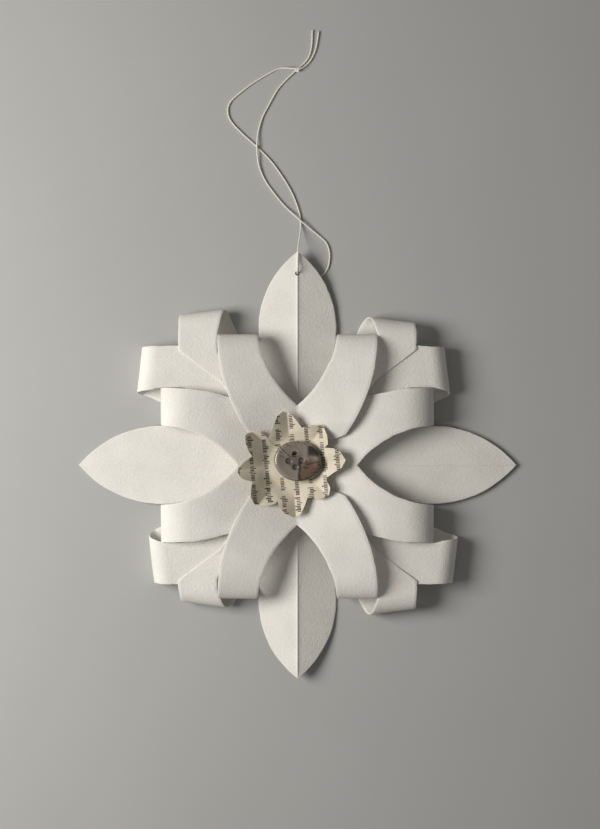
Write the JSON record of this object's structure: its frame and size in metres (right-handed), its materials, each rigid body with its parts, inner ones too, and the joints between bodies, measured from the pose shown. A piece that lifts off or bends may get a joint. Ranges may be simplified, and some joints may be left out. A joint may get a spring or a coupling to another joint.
{
  "type": "paper star ornament",
  "caption": "Flat hanging star of white paper with pointed leaves, rolled paper loops, a small paper flower and a button in the middle, and a thread loop.",
  "frame": {"origin": "middle of the star at the level it lies on, face up", "axes": "+Y towards the leaf with the hanging thread, +X to the right seen from the face, +Z out of the face"},
  "size_m": [0.1372, 0.2034, 0.0132],
  "materials": {
    "white_paper": "matte heavy drawing paper, warm white, fine felt grain",
    "printed_page": "aged cream book page with rows of dark printed marks",
    "horn_button": "polished grey-brown horn or shell look, streaked",
    "dried_glue": "dried craft glue",
    "thread": "twisted cotton thread, off-white"
  },
  "bodies": {
    "star": {"north_inner_strip_right": "white_paper", "north_inner_strip_left": "white_paper", "west_inner_strip_right": "white_paper", "west_inner_strip_left": "white_paper", "south_inner_strip_right": "white_paper", "south_inner_strip_left": "white_paper", "east_inner_strip_right": "white_paper", "east_inner_strip_left": "white_paper", "north_outer_strip_right": "white_paper", "north_outer_strip_left": "white_paper", "west_outer_strip_right": "white_paper", "west_outer_strip_left": "white_paper", "south_outer_strip_right": "white_paper", "south_outer_strip_left": "white_paper", "east_outer_strip_right": "white_paper", "east_outer_strip_left": "white_paper", "north_rolled_tip": "white_paper", "west_rolled_tip": "white_paper", "south_rolled_tip": "white_paper", "east_rolled_tip": "white_paper", "north_south_middle": "white_paper", "east_west_middle": "white_paper", "glue_behind_middle": "dried_glue", "glue_between_sheets": "dried_glue", "glue_under_flower": "dried_glue", "glue_under_button": "dried_glue", "page_flower": "printed_page", "button": "horn_button"},
    "north_leaf_tongue": {"north_leaf": "white_paper", "thread_front": "thread", "thread_back": "thread", "thread_knot": "thread"},
    "west_leaf_tongue": {"west_leaf": "white_paper"},
    "south_leaf_tongue": {"south_leaf": "white_paper"},
    "east_leaf_tongue": {"east_leaf": "white_paper"}
  },
  "joints": [
    {"name": "north_leaf_flex", "type": "hinge", "parent": "star", "child": "north_leaf_tongue", "pos_m": [0, 0.00905, 0.0041], "axis": [1, 0, 0], "range_deg": [0, 8], "stiffness_Nm_per_rad": 0.012},
    {"name": "west_leaf_flex", "type": "hinge", "parent": "star", "child": "west_leaf_tongue", "pos_m": [-0.00905, 0, 0.0041], "axis": [0, 1, 0], "range_deg": [0, 8], "stiffness_Nm_per_rad": 0.012},
    {"name": "south_leaf_flex", "type": "hinge", "parent": "star", "child": "south_leaf_tongue", "pos_m": [0, -0.00905, 0.0041], "axis": [-1, 0, 0], "range_deg": [0, 8], "stiffness_Nm_per_rad": 0.012},
    {"name": "east_leaf_flex", "type": "hinge", "parent": "star", "child": "east_leaf_tongue", "pos_m": [0.00905, 0, 0.0041], "axis": [0, -1, 0], "range_deg": [0, 8], "stiffness_Nm_per_rad": 0.012}
  ]
}
